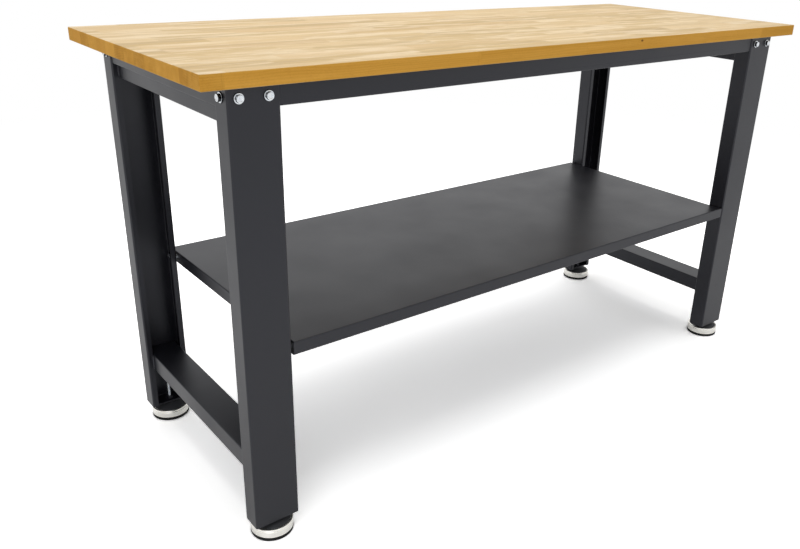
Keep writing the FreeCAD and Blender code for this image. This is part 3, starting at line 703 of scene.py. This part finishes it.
def make_foot(corner, right, rear):
    """A foot's rubber pad with its tread, its turned band with a bead, and its moulded cap."""
    pad = turned_profile([
        (0, TREAD, 0), (9, TREAD, 0), (9.6, 0, 0.2), (17, 0, 0.2), (17.6, TREAD, 0),
        (20.4, TREAD, 0), (21, 0, 0.2), (29, 0, 0.2), (29.6, TREAD, 0), (32.4, TREAD, 0),
        (33, 0, 0.2), (FOOT_RIM, 0, 1.2), (FOOT_RIM, PAD_TOP, 0.3), (0, PAD_TOP, 0)])
    band = turned_profile([
        (BAND_BORE, PAD_TOP, 0.1), (FOOT_RIM, PAD_TOP, 0.4), (FOOT_RIM, 21.8, 0.6),
        (44.4, 22.9, 0.6), (FOOT_RIM, 24.0, 0.6), (FOOT_RIM, BAND_TOP, 1.7),
        (LIP_BORE, BAND_TOP, 0.9), (LIP_BORE, SHOULDER, 0.1), (BAND_BORE, SHOULDER, 0.1),
    ], ring=True)
    cap = turned_profile([
        (0, PAD_TOP, 0), (BAND_BORE, PAD_TOP, 0.1), (BAND_BORE, SHOULDER, 0.1),
        (LIP_BORE, SHOULDER, 0.1), (LIP_BORE, 27.3, 0.4), (36, 27.9, 3), (18, 31.4, 3),
        (14.6, 32.1, 0.5), (13.4, CAP_TOP, 0.6), (6.2, CAP_TOP, 0.5), (STUD_BORE, 32, 0.3),
        (STUD_BORE, STUD_SEAT, 0.1), (0, STUD_SEAT, 0)])
    for name, points, slot, node in (
            ("rubber_pad", pad, "rubber", "foot_pad"),
            ("turned_band", band, "bright_steel", "foot_band"),
            ("moulded_cap", cap, "moulded_nylon", "foot_cap")):
        points = stood(points, [(right * LEG_X, rear * FOOT_Y, 0)], [(0, 0, 1)])
        make_piece(f"{name}_{corner}", points, f"foot_{corner}", slot, [f"{node}_{corner}"])


def make_stud(corner, right, rear):
    """A levelling stud: plain end, hex collar, thread, and a hex socket in its upper end."""
    angle = corner_angles(HEX_COLUMNS)
    shank, rim, side = STUD / 2, 8.1, hexagon(COLLAR_FLATS, angle)
    drop = chamfer_drop(side, rim)
    low = profile(
        angle, (0, STUD_LOW), (shank - 1, STUD_LOW), (shank, STUD_LOW + 1), (shank, COLLAR_LOW),
        (rim, COLLAR_LOW), (side, COLLAR_LOW + drop), (side, COLLAR_TOP - drop),
        (rim, COLLAR_TOP), (shank, COLLAR_TOP))
    ridges = thread(THREAD_LOW, STUD_TOP, STUD_TOP, STUD, STUD_PITCH, angle)
    socket = hexagon(SOCKET_FLATS, angle)
    end = profile(
        angle, (3.3, STUD_TOP), (socket + 0.15, STUD_TOP), (socket, STUD_TOP - 0.2),
        (socket, STUD_TOP - 4.5), (0, STUD_TOP - 5.4))
    points = stood(np.concatenate([low, ridges, end]), [(right * LEG_X, rear * FOOT_Y, 0)],
                   [(0, 0, 1)])
    make_piece(f"threaded_stud_{corner}", points, f"stud_{corner}", "zinc_plate",
               [f"levelling_stud_{corner}"])


# ---------------------------------------------------------------- welds

TUBE_SPANS = ((0.1465, 0.190), (0.881, 0.9125))     # heights of the stretchers and crossbars
TUBE_SIDE = 0.03575               # a tube's side, from the leg's middle
LIP_Y = 0.2615                    # face of a leg's lips, towards the table's middle
PLATE_Z = 0.042                   # upper face of the end plates
PLATE_BACK, PLATE_SIDE = 0.307, 0.047       # a leg's inner faces, where its end plate meets them
TUBE_WELD, PLATE_WELD = 3.2 * MM, 3 * MM    # the legs of the fillets
TUBE_WELD_STOP = 3 * MM           # how far from a tube's edges its welds stop
PLATE_WELD_X = 0.040              # end of the weld at the back, from the leg's middle
PLATE_WELD_Y = (0.270, 0.302)     # ends of the welds at the sides
RIPPLE = 2.4 * MM                 # one ripple of the weld pool


def weld_beads(joints, leg):
    """Points of fillet welds, each given as (start, end, off_one, off_two).

    A joint runs straight from start to end, and the directions off it lie in its two faces. Across
    the joint a bead is a quarter circle from one face to the other, closed by the joint's own line.
    Its radius is the weld's leg, swelled a little by each ripple of the pool, an absolute sine of
    the way along, and drawn in to nothing at both ends by the fourth root of the distance left.
    """
    start, end, off_one, off_two = np.array(joints, float).transpose(1, 0, 2)
    forward = np.sum(np.cross(off_one, off_two) * (end - start), 1, keepdims=True) > 0
    start, end = np.where(forward, start, end), np.where(forward, end, start)
    length = np.linalg.norm(end - start, axis=1)[:, None]
    share = (1 - np.cos(np.linspace(0, np.pi, 90))) / 2
    ripple = 0.92 + 0.16 * np.abs(np.sin(np.pi * share * length / RIPPLE))
    taper = (1 - (2 * share - 1) ** 2) ** 0.25
    size = (leg * ripple * taper)[..., None, None]
    line = start[:, None] + share[:, None] * (end - start)[:, None]
    turn = np.radians(np.linspace(0, 90, 7))[:, None]
    arc = np.cos(turn) * off_one[:, None] + np.sin(turn) * off_two[:, None]
    arc = np.concatenate([arc, np.zeros_like(arc[:, :1])], 1)
    return line[:, :, None] + size * arc[:, None]


def make_welds():
    """Beads where the tubes pass between the legs' lips, and round the end plates."""
    tubes, plates = [], []
    for right, rear in CORNERS.values():
        for low, high in TUBE_SPANS:
            for side in (-1, 1):
                x, y = right * LEG_X + side * TUBE_SIDE, rear * LIP_Y
                ends = [(x, y, low + TUBE_WELD_STOP), (x, y, high - TUBE_WELD_STOP)]
                tubes.append([*ends, (side, 0, 0), (0, -rear, 0)])
        x, y = right * LEG_X, rear * PLATE_BACK
        ends = [(x + side * PLATE_WELD_X, y, PLATE_Z) for side in (-1, 1)]
        plates.append([*ends, (0, -rear, 0), (0, 0, 1)])
        for side in (-1, 1):
            ends = [(x + side * PLATE_SIDE, rear * y, PLATE_Z) for y in PLATE_WELD_Y]
            plates.append([*ends, (-side, 0, 0), (0, 0, 1)])
    make_piece("tube_welds", weld_beads(tubes, TUBE_WELD), "root", "powder_coat")
    make_piece("end_plate_welds", weld_beads(plates, PLATE_WELD), "root", "powder_coat")


# ---------------------------------------------------------------- studio

FLOOR_END = 20.0                        # how far the floor reaches
FLOOR_SPLIT_X, FLOOR_SPLIT_Y = 0.72, 0.21       # inner corners of its quarters under the feet
FLOOR_LIMITS = (1.6, 4.0)               # where it starts to turn into the backdrop, and has done so
BOUNCED, MIRRORED, SHOWN = 0.79, 1.41, 2.13     # its shade to bounced light, in mirrors, in view
WORLD_LIGHT = 0.55
WHITE = (1, 1, 1, 1)


def shown_rays(tree):
    """The kinds of ray, and one for all that show the backdrop in view, in a mirror or in glass."""
    rays = add(tree, "LightPath").outputs
    seen = calc(tree, "MAXIMUM", rays["Is Camera Ray"], rays["Is Glossy Ray"])
    return rays, calc(tree, "MAXIMUM", seen, rays["Is Transmission Ray"])


def floor_material():
    """A pale shade that keeps shadows near the table, and the backdrop's white far from it."""
    material, tree = new_material("studio_floor")
    rays, seen = shown_rays(tree)
    shade = weighted_sum(tree, BOUNCED, (rays["Is Glossy Ray"], MIRRORED - BOUNCED),
                         (rays["Is Camera Ray"], SHOWN - BOUNCED))
    matt = add(tree, "BsdfDiffuse", {"Color": shade})
    white = add(tree, "Emission", {"Color": WHITE, "Strength": 1.0})
    out = calc_vector(tree, "LENGTH", add(tree, "TexCoord").outputs["Object"]).outputs["Value"]
    far = remap(tree, out, FLOOR_LIMITS, interpolation_type="SMOOTHSTEP")
    far = calc(tree, "MULTIPLY", far, seen)
    finish_material(tree, add(tree, "MixShader", {0: far, 1: matt, 2: white}))
    return material


def make_floor(bodies):
    """A wide floor. Its four quarters hang by hooks on the feet, and go down with them."""
    points = [(x, y, 0) for y in (-FLOOR_END, -FLOOR_SPLIT_Y, FLOOR_SPLIT_Y, FLOOR_END)
              for x in (-FLOOR_END, -FLOOR_SPLIT_X, FLOOR_SPLIT_X, FLOOR_END)]
    faces = [(i, i + 1, i + 5, i + 4) for row in (0, 4, 8) for i in range(row, row + 3)]
    mesh = bpy.data.meshes.new("floor")
    mesh.from_pydata(points, [], faces)
    mesh.materials.append(floor_material())
    floor = bpy.data.objects.new("floor", mesh)
    bpy.context.collection.objects.link(floor)
    for corner, (right, rear) in CORNERS.items():
        quarter = [i for i, (x, y, _) in enumerate(points) if x * right > 0 and y * rear > 0]
        floor.vertex_groups.new(name=corner).add(quarter, 1.0, "REPLACE")
        hook = floor.modifiers.new(f"under_{corner}", "HOOK")
        hook.object = bodies[f"foot_{corner}"]
        hook.vertex_group = corner


def make_world():
    """Soft even light from all round; white to the camera and in reflections."""
    world = bpy.data.worlds.new("studio")
    bpy.context.scene.world = world
    world.use_nodes = True
    tree = world.node_tree
    tree.nodes.clear()
    seen = shown_rays(tree)[1]
    soft = add(tree, "Background", {"Color": WHITE, "Strength": WORLD_LIGHT})
    white = add(tree, "Background", {"Color": WHITE, "Strength": 1.0})
    shader = add(tree, "MixShader", {0: seen, 1: soft, 2: white})
    tree.links.new(shader.outputs[0], add(tree, "OutputWorld").inputs["Surface"])


def make_lamp(name, place, aim, size, power):
    """A rectangular softbox at place, facing aim."""
    data = bpy.data.lights.new(name, "AREA")
    data.shape = "RECTANGLE"
    data.size, data.size_y = size
    data.energy = power
    lamp = bpy.data.objects.new(name, data)
    lamp.location = place
    lamp.rotation_euler = (Vector(aim) - Vector(place)).to_track_quat("-Z", "Y").to_euler()
    bpy.context.collection.objects.link(lamp)


make_camera()
dress_nodes()
make_fasteners()
for corner, (right, rear) in CORNERS.items():
    make_foot(corner, right, rear)
    make_stud(corner, right, rear)
make_welds()
make_floor(frame["bodies"])
make_world()
make_lamp("softbox_top", (0, 0, 3.4), (0, 0, 0.9), (3.0, 3.0), 40)
make_lamp("softbox_front", (-2.8, -2.5, 2.1), (0, 0, 0.6), (2.2, 1.9), 18)
make_lamp("softbox_back", (0, 2.2, 3.2), (0, 0.2, 0.5), (3.0, 1.2), 10)
bpy.context.scene.view_settings.view_transform = "Standard"
